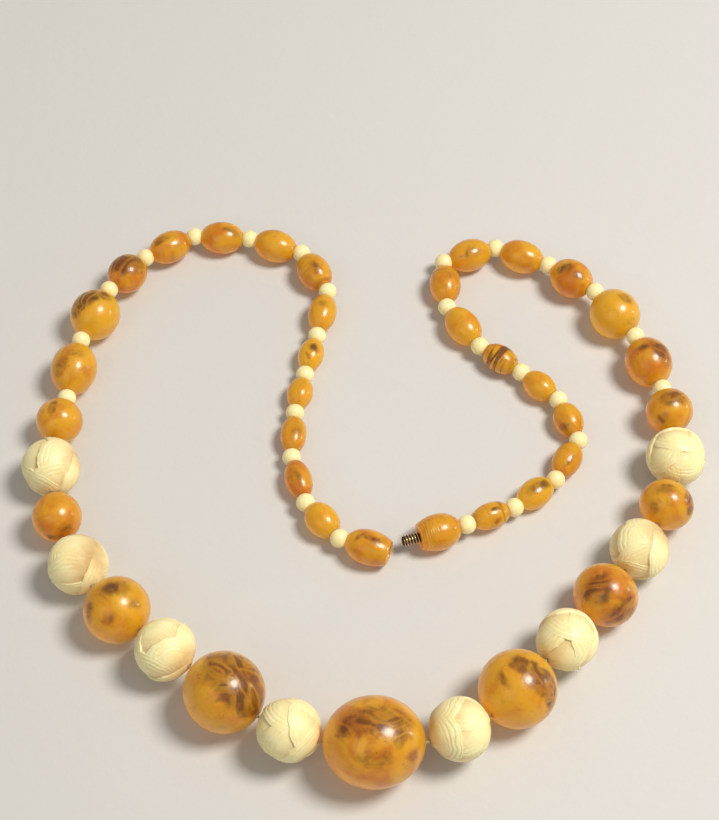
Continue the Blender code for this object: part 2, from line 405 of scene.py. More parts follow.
def make_screw_tree(name, rows, sectors):
    """A tube with a helical thread on it. The thread is cut inwards where Crest is less than Root."""
    tree = Shaping(name, dict.fromkeys(("Length", "Root", "Crest", "Bore", "Pitch"), "Float"))
    given = tree.given
    sheet, u, turn = tree.turned_grid(rows, sectors)
    share = SCREW_ROWS_OUTSIDE
    climb = (u / share).least(1.0)
    inside = ((u - share) / (1 - share)).most(0.0)
    phase = (climb * given["Length"] / given["Pitch"] - turn / (2 * PI)).part() * 2 - 1
    ridge = ((1 - phase.unsigned()) * 1.7 - 0.35).held()
    ends = climb.rise(0.0, 0.06) * climb.rise(1.0, 0.95)
    is_bore = u.above(share + NEXT_ROW)
    bare = given["Root"] + (given["Crest"] - given["Root"]) * ridge * ends
    chamfer = 1 - (1 - SCREW_END) * (1 - climb.rise(0.0, 0.03) * climb.rise(1.0, 0.97))
    is_last = u.above(1 - NEXT_ROW)
    bore = given["Bore"] * (1 - is_last) + given["Root"] * SCREW_END * is_last
    out = bare * chamfer * (1 - is_bore) + bore * is_bore
    along = given["Length"] * (climb * (1 - is_bore) + (1 - inside) * is_bore)
    sheet = tree.keep(sheet, "crest", ridge * ends * (1 - is_bore))
    return tree.end(tree.wind(sheet, along, out, turn))


def make_thread_tree(name, sides):
    """Plies twisted about a path."""
    tree = Shaping(name, {"Radius": "Float", "Lay": "Float", "Phase": "Float", "Steps": "Int"})
    given = tree.given
    path = tree.add("GeometryNodeMeshToCurve", {}, given["Geometry"])
    path = tree.add("GeometryNodeResampleCurve", {"mode": "COUNT"}, path, Count=given["Steps"])
    path = tree.add("GeometryNodeSetCurveNormal", {"mode": "Z_UP"}, path)
    ply_radius = given["Radius"] * PLY_RADIUS
    profile = tree.add("GeometryNodeCurvePrimitiveCircle", {}, sides, Radius=ply_radius)
    gone = tree.add("GeometryNodeSplineParameter", {}, output=1)
    normal = tree.add("GeometryNodeInputNormal", {})
    tangent = tree.add("GeometryNodeInputTangent", {})
    across = tree.vector("CROSS_PRODUCT", tangent, normal)
    joined = tree.tree.nodes.new("GeometryNodeJoinGeometry")
    for ply in range(THREAD_PLIES):
        turn = (gone / given["Lay"] + given["Phase"] + ply / THREAD_PLIES) * (2 * PI)
        off = tree.vector("ADD", tree.scaled(normal, turn.cosine()), tree.scaled(across, turn.sine()))
        off = tree.scaled(off, given["Radius"] * PLY_OFF)
        strand = tree.add("GeometryNodeSetPosition", {}, path, Offset=off)
        tube = tree.add("GeometryNodeCurveToMesh", {}, strand, profile, Fill_Caps=True)
        tree.tree.links.new(tube.socket, joined.inputs[0])
    return tree.end(Value(tree, joined.outputs[0]))


# ---------------------------------------------------------------- finishes

YELLOW = (0.80, 0.45, 0.016)
GOLDEN = (0.71, 0.325, 0.007)
ORANGE = (0.64, 0.215, 0.004)
RUSSET = (0.34, 0.105, 0.006)
BROWN = (0.115, 0.036, 0.006)
# the next two are colours of the painted glow in the amber, which stands in for light passing through
# it
PAINTED_GLOW_ORANGE = (0.95, 0.30, 0.006)
PAINTED_GLOW_YELLOW = (1.0, 0.50, 0.015)
CREAM = (1.0, 0.885, 0.49)
CREAM_DEEP = (0.95, 0.77, 0.35)
# the next colour darkens the carved cuts with grime and painted shade, and darkens the spacers' pits
CREAM_DIRT_AND_SHADE = (0.50, 0.28, 0.08)


class Finish(Wiring):
    """A material around one Principled shader."""

    def __init__(self, name, **constants):
        self.material = bpy.data.materials.new(name)
        self.material.use_nodes = True
        super().__init__(self.material.node_tree)
        self.shader = self.tree.nodes["Principled BSDF"]
        for socket, value in constants.items():
            self.shader.inputs[socket.replace("_", " ")].default_value = value

    def attribute(self, name, output=2):
        settings = {"attribute_type": "GEOMETRY", "attribute_name": name}
        return self.add("ShaderNodeAttribute", settings, output=output)

    def bead_place(self):
        """A bead's own coordinates, in millimetres."""
        return self.attribute("place", 1)

    def object_place(self):
        return self.add("ShaderNodeTexCoord", {}, output=3)

    def blend(self, factor, colour, other):
        settings = {"data_type": "RGBA", "clamp_factor": True}
        ready = [(*c, 1.0) if isinstance(c, tuple) else c for c in (colour, other)]
        return self.add("ShaderNodeMix", settings, factor, *ready)

    def stretched(self, place, scale):
        return self.add("ShaderNodeMapping", {"vector_type": "POINT"}, place, Scale=scale)

    def specks(self, place, scale, size):
        """1 in small round spots, 0 elsewhere."""
        near = self.add("ShaderNodeTexVoronoi", {"feature": "F1"}, Vector=place, Scale=scale)
        return near.rise(size, size * 0.5)

    def wear(self, colour, roughness, height, depth):
        """Link what varies over the surface to the shader."""
        bump = self.add("ShaderNodeBump", {}, Strength=1.0, Distance=depth, Height=height)
        self.connect(self.shader.inputs["Base Color"], colour)
        self.connect(self.shader.inputs["Roughness"], roughness)
        self.connect(self.shader.inputs["Normal"], bump)
        return self.material


def amber_resin(name, gloss):
    """Golden resin with soft clouds, curly brown smoke, bands across the axis, a few specks and a
    painted glow where key light would pass through.
    """
    finish = Finish(
        name, Subsurface_Weight=0.6, Subsurface_Radius=(1.0, 0.5, 0.06), Subsurface_Scale=0.0018,
        Subsurface_Anisotropy=0.3, Transmission_Weight=0.2, Coat_Weight=0.5, Coat_Roughness=0.19,
        Coat_IOR=1.5, IOR=1.42, Emission_Strength=0.34,
    )
    place = finish.bead_place()
    tint = finish.attribute("tint")
    smoke = finish.attribute("smoke")
    banded = finish.attribute("banded")

    cloud = finish.noise(place, 0.13, 3.0, 0.5, 1.2)
    colour = finish.blend(cloud.rise(0.34, 0.60), ORANGE, GOLDEN)
    colour = finish.blend((tint + cloud - 0.5).rise(0.15, 0.80), colour, YELLOW)
    mottle = finish.noise(place, 0.42, 4.0, 0.6, 1.2)
    colour = finish.blend(mottle.rise(0.56, 0.74) * 0.30, colour, RUSSET)

    veil = finish.noise(place, 0.15, 3.5, 0.55, 1.6)
    curl = finish.noise(place, 0.12, 1.5, 0.5, 2.0) * 2 - 1
    curl = curl.unsigned().rise(0.0, 0.30) * 0.48 + 0.52
    smoky = (smoke + (veil - 0.5) * 1.2).rise(0.16, 0.92) * smoke.rise(0.03, 0.35) * curl
    stripe = finish.noise(finish.stretched(place, (1.0, 0.10, 0.10)), 0.62, 3.0, 0.55, 0.5)
    smoky = smoky.most(stripe.rise(0.50, 0.64) * banded)
    murk = finish.blend(mottle.rise(0.42, 0.72) * 0.8, BROWN, RUSSET)
    colour = finish.blend(smoky * 0.9, colour, murk)
    specks = finish.specks(place, 0.55, 0.13) * smoke.rise(0.05, 0.4)
    colour = finish.blend(specks * 0.7, colour, BROWN)

    # painted glow: emitted light on the side away from the key light, standing in for light passing
    # through the amber, weaker where it is smoky
    lit = finish.attribute("lit_through") * (1 - smoky * 0.75) * (0.7 + cloud * 0.6)
    glow = finish.blend(lit, (0.0, 0.0, 0.0), finish.blend(tint.rise(0.3, 1.0), PAINTED_GLOW_ORANGE, PAINTED_GLOW_YELLOW))
    finish.connect(finish.shader.inputs["Emission Color"], glow)

    scuffs = finish.noise(finish.stretched(place, (1.0, 3.0, 3.0)), 1.6, 4.0, 0.7)
    roughness = gloss + scuffs.rise(0.45, 0.8) * 0.12
    peel = finish.noise(place, 0.9, 3.0, 0.5)
    return finish.wear(colour, roughness, peel, 0.10 * MM)


def carved_cream():
    """Cream with cuts darkened by grime and painted shade, faint grain and a soft satin polish on
    what stands proud.
    """
    finish = Finish("cream_carved", Subsurface_Weight=0.35, Subsurface_Radius=(1.0, 0.75, 0.4),
                    Subsurface_Scale=0.0012, IOR=1.5, Coat_Weight=0.12, Coat_Roughness=0.3)
    place = finish.bead_place()
    recess = finish.attribute("recess")
    mottle = finish.noise(place, 0.35, 3.0, 0.55, 0.8)
    grain = finish.noise(finish.stretched(place, (0.25, 1.6, 1.6)), 1.2, 4.0, 0.6)
    colour = finish.blend(mottle.rise(0.38, 0.66) * 0.55, CREAM, CREAM_DEEP)
    colour = finish.blend(grain.rise(0.52, 0.75) * 0.18, colour, CREAM_DEEP)
    # grime and painted shade: darker the deeper a spot lies in the cuts between petals
    dirt_and_shade = recess.rise(0.22, 0.85) * (0.45 + mottle * 0.5)
    colour = finish.blend(dirt_and_shade, colour, CREAM_DIRT_AND_SHADE)
    roughness = 0.34 + recess * 0.3 + grain.rise(0.4, 0.7) * 0.1
    return finish.wear(colour, roughness, grain, 0.05 * MM)


def spacer_cream():
    """Smooth cream, each spacer a touch lighter or darker, with tiny pits."""
    finish = Finish("cream_spacer", Subsurface_Weight=0.35, Subsurface_Radius=(1.0, 0.75, 0.4),
                    Subsurface_Scale=0.001, IOR=1.5, Coat_Weight=0.2, Coat_Roughness=0.22)
    place = finish.bead_place()
    tint = finish.attribute("tint")
    mottle = finish.noise(place, 0.6, 3.0, 0.6, 0.6)
    colour = finish.blend(mottle.rise(0.4, 0.7) * 0.5 + tint * 0.35, CREAM, CREAM_DEEP)
    pits = finish.specks(place, 1.4, 0.12)
    colour = finish.blend(pits * 0.4, colour, CREAM_DIRT_AND_SHADE)
    roughness = 0.3 + mottle.rise(0.4, 0.7) * 0.14
    return finish.wear(colour, roughness, mottle - pits * 0.3, 0.06 * MM)


def old_brass():
    """Brass gone dark in the roots of its thread, bright on the crests."""
    finish = Finish("old_brass", Metallic=1.0)
    place = finish.object_place()
    crest = finish.attribute("crest")
    tarnish = finish.noise(place, 900.0, 4.0, 0.6)
    bright = (crest + (tarnish - 0.5) * 0.5).rise(0.55, 0.95)
    colour = finish.blend(tarnish.rise(0.35, 0.7), (0.06, 0.042, 0.028), (0.16, 0.10, 0.05))
    colour = finish.blend(bright, colour, (0.80, 0.62, 0.34))
    roughness = 0.55 - bright * 0.27 + tarnish * 0.08
    return finish.wear(colour, roughness, tarnish, 0.03 * MM)


def waxed_thread():
    """Undyed cotton, waxed, with fine fibres."""
    finish = Finish("waxed_thread", Sheen_Weight=0.3, Sheen_Roughness=0.5)
    place = finish.object_place()
    fibres = finish.noise(place, 2600.0, 3.0, 0.7)
    colour = finish.blend(fibres.rise(0.3, 0.7), (0.40, 0.27, 0.13), (0.66, 0.51, 0.31))
    return finish.wear(colour, 0.62 + fibres * 0.25, fibres, 0.02 * MM)


def pale_floor():
    """Matt and pale, with a fine grain."""
    finish = Finish("pale_floor")
    place = finish.object_place()
    paper = finish.noise(place, 420.0, 4.0, 0.6)
    wide = finish.noise(place, 6.0, 2.0, 0.5)
    colour = finish.blend(paper * 0.3 + wide * 0.5, (0.60, 0.595, 0.585), (0.66, 0.655, 0.645))
    return finish.wear(colour, 0.72 + paper * 0.1, paper, 0.08 * MM)


# ---------------------------------------------------------------- marks in the amber beads

def look(tint, *marks, banded=0.0):
    """One bead's look. Tint is 0 for orange and 1 for yellow, and bands run across the axis.

    Each mark: right and up of the bead's middle as seen from the front, in half sizes, then its
    size, how many times longer than wide, its lean in degrees from right, and its strength.
    """
    return {"tint": tint, "banded": banded, "marks": marks}


PLAIN = look(0.5)
LOOKS = {
    "centre_bead": look(0.50,
        (0.05, 0.62, 0.30, 2.6, 8, 1.1), (-0.52, 0.50, 0.15, 2.4, 58, 1.0),
        (0.42, 0.38, 0.26, 1.3, -40, 0.8), (0.0, -0.18, 0.18, 1.8, 0, 0.75),
        (0.72, -0.22, 0.15, 1.4, 60, 0.75)),
    "left_oval_bead_1": look(0.55,
        (0.44, 0.46, 0.46, 1.8, -48, 2.0), (0.80, 0.0, 0.26, 1.7, -70, 1.6),
        (-0.25, 0.66, 0.16, 1.8, 20, 0.7), (0.15, -0.72, 0.12, 2.0, 10, 0.6)),
    "left_oval_bead_2": look(0.60,
        (0.02, 0.74, 0.24, 1.8, 4, 1.1), (0.60, 0.32, 0.18, 1.5, -60, 0.7),
        (-0.72, 0.05, 0.18, 1.8, 75, 0.75), (-0.12, -0.18, 0.17, 1.3, 20, 0.7)),
    "left_oval_bead_3": look(0.45,
        (0.52, -0.42, 0.28, 1.6, 50, 0.75), (-0.1, -0.75, 0.18, 2.0, -20, 0.55)),
    "left_oval_bead_4": look(0.60,
        (-0.20, 0.62, 0.16, 2.0, 85, 1.1), (-0.62, 0.36, 0.22, 1.4, 60, 0.55)),
    "left_oval_bead_5": look(0.55,
        (-0.45, 0.20, 0.34, 1.3, 40, 0.8), (0.15, 0.66, 0.20, 1.8, 0, 0.7)),
    "left_oval_bead_6": look(0.80,
        (-0.36, 0.60, 0.28, 2.4, 42, 2.2), (0.30, 0.80, 0.18, 2.0, -20, 1.2)),
    "left_oval_bead_7": look(0.45, (0.05, 0.62, 0.46, 1.8, 10, 1.8), banded=0.2),
    "left_oval_bead_8": look(0.45, (-0.40, 0.40, 0.26, 1.6, 35, 1.0), banded=0.35),
    "left_oval_bead_9": look(0.45, (0.50, 0.36, 0.26, 1.7, -30, 0.9)),
    "left_oval_bead_10": look(0.60),
    "left_oval_bead_11": look(0.40,
        (0.10, 0.30, 0.30, 1.6, -50, 0.8), (-0.35, -0.3, 0.2, 1.5, -40, 0.6), banded=0.4),
    "left_oval_bead_12": look(0.55, (0.0, 0.60, 0.24, 1.4, 0, 0.75)),
    "left_oval_bead_13": look(1.00,
        (0.20, 0.55, 0.26, 1.6, -30, 0.9), (-0.2, 0.1, 0.14, 2.0, -60, 0.7)),
    "left_oval_bead_14": look(0.55),
    "left_oval_bead_15": look(0.35, (0.30, 0.40, 0.4, 1.4, 70, 0.65), banded=0.1),
    "left_oval_bead_16": look(0.30, (-0.2, 0.45, 0.4, 1.5, -50, 0.65), banded=0.1),
    "left_oval_bead_17": look(0.75),
    "clasp_socket_half": look(0.45,
        (-0.38, 0.62, 0.10, 3.2, 50, 1.0), (0.10, 0.58, 0.13, 2.2, -22, 1.2),
        (0.48, 0.42, 0.22, 1.5, -35, 0.7), (-0.6, -0.25, 0.13, 1.8, 80, 0.55)),
    "right_oval_bead_1": look(0.60,
        (0.34, 0.50, 0.22, 2.8, -52, 1.8), (0.76, 0.12, 0.22, 2.2, -58, 1.6),
        (-0.05, 0.62, 0.12, 2.8, -52, 0.9), (-0.42, 0.35, 0.10, 2.6, -52, 0.8)),
    "right_oval_bead_2": look(0.40,
        (-0.38, 0.28, 0.36, 1.5, 40, 1.1), (0.42, -0.42, 0.34, 1.8, 45, 1.15)),
    "right_oval_bead_3": look(0.50,
        (0.80, 0.12, 0.24, 1.8, 80, 1.5), (-0.15, 0.66, 0.22, 1.8, 8, 1.0),
        (-0.60, -0.10, 0.20, 1.6, 60, 0.65), (0.1, 0.2, 0.18, 1.5, 30, 0.5)),
    "right_oval_bead_4": look(0.40,
        (0.10, 0.62, 0.34, 1.7, -8, 1.1), (-0.45, -0.35, 0.24, 1.4, 30, 0.65)),
    "right_oval_bead_5": look(0.40,
        (0.46, 0.48, 0.36, 1.5, -40, 1.25), (-0.3, 0.6, 0.2, 1.6, 30, 0.8)),
    "right_oval_bead_6": look(0.85,
        (0.35, 0.60, 0.20, 1.8, -30, 0.7), (0.5, -0.4, 0.22, 1.5, 30, 0.45)),
    "right_oval_bead_7": look(0.35,
        (-0.35, 0.50, 0.26, 1.6, 30, 1.0), (0.2, 0.2, 0.2, 1.5, -20, 0.8)),
    "right_oval_bead_8": look(0.55),
    "right_oval_bead_9": look(0.50, (0.1, 0.2, 0.4, 1.5, 30, 0.5)),
    "right_oval_bead_10": look(0.40, (0.3, 0.5, 0.3, 1.5, 80, 0.6), banded=0.3),
    "right_oval_bead_11": look(0.60),
    "right_oval_bead_12": look(0.45, (0.55, -0.1, 0.2, 1.8, 60, 0.7), banded=1.0),
    "right_oval_bead_13": look(0.60),
    "right_oval_bead_14": look(0.45, (-0.4, -0.35, 0.3, 1.5, 60, 0.7)),
    "right_oval_bead_15": look(0.40, (0.15, 0.1, 0.12, 3.5, 50, 1.0), banded=0.1),
    "right_oval_bead_16": look(1.00, (0.1, 0.52, 0.34, 1.9, 25, 1.1)),
    "right_oval_bead_17": look(0.50,
        (0.25, 0.55, 0.16, 2.0, 10, 1.2), (0.45, -0.35, 0.16, 1.6, 70, 1.0), banded=0.55),
    "clasp_plug_half": look(0.45, banded=0.1),
}
HIDDEN_MARKS = 3
MARK_SPREAD = 1.35


def marks_mask(facing, marks):
    """How smoky each spot is. Facing is its direction from the middle: right, up and near."""
    mask = np.zeros(len(facing))
    for right, up, size, stretch, lean, strength in marks:
        near = math.sqrt(max(0.0, 1 - right * right - up * up))
        middle = np.array((right, up, near))
        middle /= np.linalg.norm(middle)
        away = facing - middle
        long_way = np.array((math.cos(math.radians(lean)), math.sin(math.radians(lean)), 0.0))
        long_way -= middle * (long_way @ middle)
        long_way /= np.linalg.norm(long_way)
        lengthwise = away @ long_way
        sideways = (away * away).sum(1) - lengthwise**2
        size *= MARK_SPREAD
        spread = (lengthwise / (size * stretch)) ** 2 + sideways / size**2
        mask = np.maximum(mask, strength * np.exp(-spread))
    return mask


def hidden_marks(facing, seed):
    """Marks round the back, where the front view doesn't reach."""
    chance = np.random.default_rng(seed)
    mask = np.zeros(len(facing))
    for _ in range(HIDDEN_MARKS):
        middle = chance.normal(size=3)
        middle[2] = -abs(middle[2]) - 0.2
        middle /= np.linalg.norm(middle)
        size, strength = chance.uniform(0.18, 0.4), chance.uniform(0.4, 1.2)
        away = ((facing - middle) ** 2).sum(1)
        mask = np.maximum(mask, strength * np.exp(-away / size**2))
    return mask


def store(mesh, name, kind, values):
    """Keep a value, or a vector, for every point of the mesh."""
    layer = mesh.attributes.new(name, kind, "POINT")
    layer.data.foreach_set("vector" if kind == "FLOAT_VECTOR" else "value", np.ravel(values))


def mark_bead(piece, node_name, seat, half_sizes, seed):
    """Store the bead's own coordinates, where it is smoky, banded or yellow, and its painted glow
    where key light would pass through.
    """
    mesh = piece.data
    spots = np.empty(len(mesh.vertices) * 3)
    mesh.vertices.foreach_get("co", spots)
    spots = spots.reshape(-1, 3)
    axes = np.array(seat.to_3x3())
    own = (spots - np.array(seat.translation)) @ axes
    store(mesh, "place", "FLOAT_VECTOR", own / MM + np.array((seed * 7.3, seed * 3.1, 0.0)))
    bead_look = LOOKS.get(node_name, PLAIN)
    facing = (own / half_sizes) @ axes.T
    facing /= np.linalg.norm(facing, axis=1)[:, None].clip(1e-9)
    seen = facing @ np.array((SEEN_RIGHT, SEEN_UP, TO_CAMERA)).T
    mask = np.maximum(marks_mask(seen, bead_look["marks"]), hidden_marks(seen, seed))
    # painted glow: strongest on the side facing away from the key light, as if its light came through
    # the bead
    painted_glow_share = (-(facing @ np.array(KEY_WAY)) - LIT_FROM) / (LIT_FULL - LIT_FROM)
    store(mesh, "lit_through", "FLOAT", painted_glow_share.clip(0, 1) ** 1.5)
    store(mesh, "smoke", "FLOAT", mask)
    for name in ("banded", "tint"):
        store(mesh, name, "FLOAT", np.full(len(spots), bead_look[name]))


# ---------------------------------------------------------------- the frame's beads

class Link:
    """One body on the thread, from the pivot nearer the socket half to the one nearer the plug."""

    def __init__(self, body, near, far):
        self.body, self.near, self.far = body, Vector(near), Vector(far)
        self.way = (self.far - self.near).normalized()


def seat_at(middle, way):
    """A frame at middle whose X axis points along way and whose Z axis points up."""
    across = UP.cross(way).normalized()
    seat = Matrix((way, across, way.cross(across))).transposed().to_4x4()
    seat.translation = middle
    return seat


def links_in_order(frame):
    """The bodies on the thread, from the socket half to the plug half, without the spinning ovals."""
    joints = [j for j in frame["joints"] if not j["name"].endswith("_spin")]
    ends = {m["name"]: m for m in frame["record"]["mounts"]}
    into = {j["child"]: Vector(j["pos_m"]) for j in joints}
    sides = {}
    for side, clasp, face in (("left", "clasp_socket_half", "socket_end_face"),
                              ("right", "clasp_plug_half", "plug_end_face")):
        body, run = clasp, []
        outer = Vector(ends[face]["pos_m"])
        way = Vector(ends[face]["axis"])
        outer = into[clasp] + way * (outer - into[clasp]).dot(way)
        while body in into:
            run.append((body, into[body], outer))
            outer = into[body]
            body = next(j["parent"] for j in joints if j["child"] == body)
        sides[side] = run
    line = [Link(body, outer, inner) for body, inner, outer in sides["left"]]
    line.append(Link("centre_bead", sides["left"][-1][1], sides["right"][-1][1]))
    line += [Link(body, inner, outer) for body, inner, outer in reversed(sides["right"])]
    return line


def measured(node, link):
    """Where a CAD bead sits on its link: its middle's seat, length, radius and two rims' radii."""
    spots = np.array([vertex.co for vertex in node.data.vertices])
    offset = spots - np.array(link.near)
    along = offset @ np.array(link.way)
    out = np.linalg.norm(offset - along[:, None] * np.array(link.way), axis=1)
    near, far = float(along.min()), float(along.max())
    middle = link.near + link.way * (near + far) / 2
    rims = [rim_for(near), rim_for((link.far - link.near).length - far)]
    return seat_at(middle, link.way), far - near, float(out.max()), rims


def rim_for(distance):
    """How wide the rim is at that distance from its pivot: a spacer's cup, or just the bore."""
    return math.sqrt(CUP_RADIUS**2 - distance**2) if distance > CUPPED_FROM else BORE


def place(piece, seat):
    """Put a finished mesh on its seat."""
    piece.data.transform(seat)
    outward(piece.data)


# ---------------------------------------------------------------- pieces

class Strand:
    """Makes the pieces, each on its own body."""

    def __init__(self, frame):
        self.nodes = frame["nodes"]
        self.links = links_in_order(frame)
        self.finishes = {
            "amber_honey": amber_resin("amber_honey", 0.30),
            "amber_smoky": amber_resin("amber_smoky", 0.33),
            "cream_carved": carved_cream(),
            "cream_spacer": spacer_cream(),
            "old_brass": old_brass(),
            "waxed_thread": waxed_thread(),
        }
        self.oval_tree = make_bead_tree("bored oval", rows=70, sectors=72)
        self.spacer_tree = make_bead_tree("spacer", rows=40, sectors=48)
        self.carved_tree = make_carved_tree("carved round", rows=150, sectors=240)
        self.screw_tree = make_screw_tree("screw thread", rows=150, sectors=56)
        self.thread_tree = make_thread_tree("twisted thread", sides=7)
        self.seed = 0

    def next_seed(self):
        self.seed += 1
        return self.seed

    def hand_over(self, piece, body, node, slot):
        """Put the piece on its body, in its node's place."""
        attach(piece, body)
        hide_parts(node)

    def oval(self, node, body, link):
        seed = self.next_seed()
        seat, length, radius, (near_rim, far_rim) = measured(self.nodes[node], link)
        slot = "amber_smoky" if radius * 2 >= LARGE_FROM else "amber_honey"
        sizes = {"Length": length, "Radius": radius, "Bore": BORE, "Near Rim": near_rim,
                 "Far Rim": far_rim, "Uneven": OVAL_UNEVEN, "Seed": seed * 0.013,
                 "Finish": self.finishes[slot]}
        piece = shaped(node.replace("_bead", "_amber"), self.oval_tree, sizes)
        place(piece, seat)
        mark_bead(piece, node, seat, np.array((length / 2, radius, radius)), seed)
        self.hand_over(piece, body, node, slot)

    def carved(self, node, link):
        seed = self.next_seed()
        seat, length, radius, _ = measured(self.nodes[node], link)
        turn = (seed * 0.9, seed * 1.7, seed * 2.3)
        sizes = {"Length": length, "Radius": radius, "Bore": BORE, "Turn": turn,
                 "Finish": self.finishes["cream_carved"]}
        piece = shaped(node.replace("_bead", "_round"), self.carved_tree, sizes)
        place(piece, seat)
        mark_bead(piece, node, seat, np.array((length / 2, radius, radius)), seed)
        self.hand_over(piece, node, node, "cream_carved")

    def spacer(self, name, pair, middle, way):
        seed = self.next_seed()
        length = 2 * math.sqrt(SPACER_RADIUS**2 - SPACER_BORE**2)
        sizes = {"Length": length, "Radius": SPACER_RADIUS, "Bore": SPACER_BORE,
                 "Near Rim": SPACER_BORE, "Far Rim": SPACER_BORE,
                 "Uneven": SPACER_UNEVEN, "Seed": seed * 0.017,
                 "Finish": self.finishes["cream_spacer"]}
        piece = shaped(name, self.spacer_tree, sizes)
        seat = seat_at(middle, way)
        place(piece, seat)
        mark_bead(piece, "", seat, np.full(3, SPACER_RADIUS), seed)
        tint = piece.data.attributes["tint"]
        tint.data.foreach_set("value", np.full(len(piece.data.vertices), (seed * 0.618) % 1.0))
        self.hand_over(piece, pair, pair, "cream_spacer")

    def clasp_half(self, node, outward_way, flat, hole, cuts):
        """A half, with or without turned lines beside its flat end. Returns the flat end's seat."""
        seed = self.next_seed()
        link = next(each for each in self.links if each.body == node)
        seat, length, radius, rims = measured(self.nodes[node], link)
        seat = seat_at(seat.translation, outward_way)
        outline = clasp_outline(length, radius, max(rims), flat, hole, cuts)
        piece = turned(node.replace("_half", "_amber"), outline, CLASP_SECTORS)
        piece.data.materials.append(self.finishes["amber_honey"])
        place(piece, seat)
        mark_bead(piece, node, seat, np.array((length / 2, radius, radius)), seed)
        self.hand_over(piece, node, node, "amber_honey")
        return seat @ Matrix.Translation((length / 2, 0, 0))

    def screw(self, name, seat, sizes, finish):
        """A threaded piece from its seat along X, not yet on a body."""
        sizes = {**sizes, "Pitch": SCREW_PITCH, "Finish": self.finishes[finish]}
        piece = shaped(name, self.screw_tree, sizes)
        place(piece, seat)
        return piece

    def twisted(self, name, body, spots, thickness, gone):
        """Twisted thread along the points. Returns its length."""
        length = sum((b - a).length for a, b in zip(spots, spots[1:]))
        path = bpy.data.meshes.new("route")
        path.from_pydata(spots, [(n, n + 1) for n in range(len(spots) - 1)], [])
        sizes = {"Radius": thickness, "Lay": THREAD_LAY, "Phase": gone / THREAD_LAY % 1.0,
                 "Steps": round(length / THREAD_STEP), "Finish": self.finishes["waxed_thread"]}
        piece = shaped(name, self.thread_tree, sizes, path)
        outward(piece.data)
        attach(piece, body)
        return length

    def thread(self, link, way_in, way_out, gone):
        """The thread in one link, meeting its neighbours at the pivots. Returns its length."""
        near, far = link.near, link.far
        if link.body == "clasp_socket_half":
            near = near + link.way * SOCKET_KNOT[2]
        if link.body == "clasp_plug_half":
            far = far - link.way * PLUG_KNOT[2]
        spots = thread_route(near, far, link.way, way_in, way_out)
        return self.twisted(f"thread_in_{link.body}", link.body, spots, THREAD_RADIUS, gone)

    def knot(self, name, body, flat_end, sizes):
        """The coiled knot that ends the thread, in from the flat end of a clasp half."""
        coil, thickness, depth = sizes
        spots = []
        for n in range(THREAD_STEPS * 2 + 1):
            t = n / THREAD_STEPS / 2
            turn = 2 * PI * KNOT_TURNS * t
            along = thickness * 1.9 * KNOT_TURNS * (t - 0.5) - depth
            spots.append(flat_end @ Vector((along, coil * math.cos(turn), coil * math.sin(turn))))
        self.twisted(name, body, spots, thickness, 0.0)


def thread_route(near, far, way, way_in, way_out):
    """Points from pivot to pivot, leaving each in the direction shared with the neighbour."""
    spots = []
    for n in range(THREAD_STEPS + 1):
        t = n / THREAD_STEPS
        lead_in = way_in * (THREAD_PULL * 4 * t * (1 - t) ** 6)
        lead_out = way_out * (THREAD_PULL * 4 * (1 - t) * t**6)
        aside = lead_in - way * lead_in.dot(way)
        aside -= lead_out - way * lead_out.dot(way)
        spots.append(near.lerp(far, t) + aside)
    return spots


def arc(start, end, count, along, radius, middle):
    """Points on an ellipse with these half axes, as how far along and how far out they are."""
    angles = [start + (end - start) * n / count for n in range(count + 1)]
    return [(middle - along * math.cos(a), radius * math.sin(a)) for a in angles]


def clasp_outline(length, radius, rim, flat, hole, cuts):
    """From a half's cupped end, at 0, to its flat end, then back by the hole, bore and cup."""
    hole_radius, hole_depth = hole
    widest = length * CLASP_WIDEST
    first = math.asin(rim / radius)
    shoulder = length - CLASP_EDGE
    back = arc(first, PI / 2, 22, widest / math.cos(first), radius, widest)
    front_axis = (shoulder - widest) / math.sqrt(1 - (flat / 2 / radius) ** 2)
    last = PI - math.asin(flat / 2 / radius)
    front = arc(PI / 2, last, 64, front_axis, radius, widest)[1:]
    if cuts:
        front = [(along, out - cut_depth(shoulder - along)) for along, out in front]
    edge_middle = flat / 2 - CLASP_EDGE
    edge = [(shoulder + CLASP_EDGE * math.sin(a), edge_middle + CLASP_EDGE * math.cos(a))
            for a in (PI / 10, PI / 5, PI * 0.3, PI * 0.4, PI / 2)]
    inner = [(length, hole_radius + HOLE_LIP), (length - HOLE_LIP, hole_radius)]
    bottom = length - hole_depth
    inner += [(length - hole_depth * share, hole_radius) for share in (0.25, 0.5, 0.75)]
    inner += [(bottom, hole_radius), (bottom, (hole_radius + BORE) / 2), (bottom, BORE)]
    pivot = -math.sqrt(CUP_RADIUS**2 - rim**2)
    cup = [(pivot + math.sqrt(CUP_RADIUS**2 - out**2), out)
           for out in (BORE, BORE * 0.6 + rim * 0.4, BORE * 0.25 + rim * 0.75)]
    inner += [(cup[0][0] + (bottom - cup[0][0]) * share, BORE) for share in (0.75, 0.5, 0.25)]
    return back + front + edge + inner + cup


def cut_depth(from_shoulder):
    """How deep the turned lines are cut, at that distance back from the shoulder."""
    fade = max(0.0, 1 - from_shoulder / CUTS_REACH)
    return CUT_DEPTH * fade * (0.5 + 0.5 * math.cos(2 * PI * from_shoulder / CUT_PITCH)) ** 2


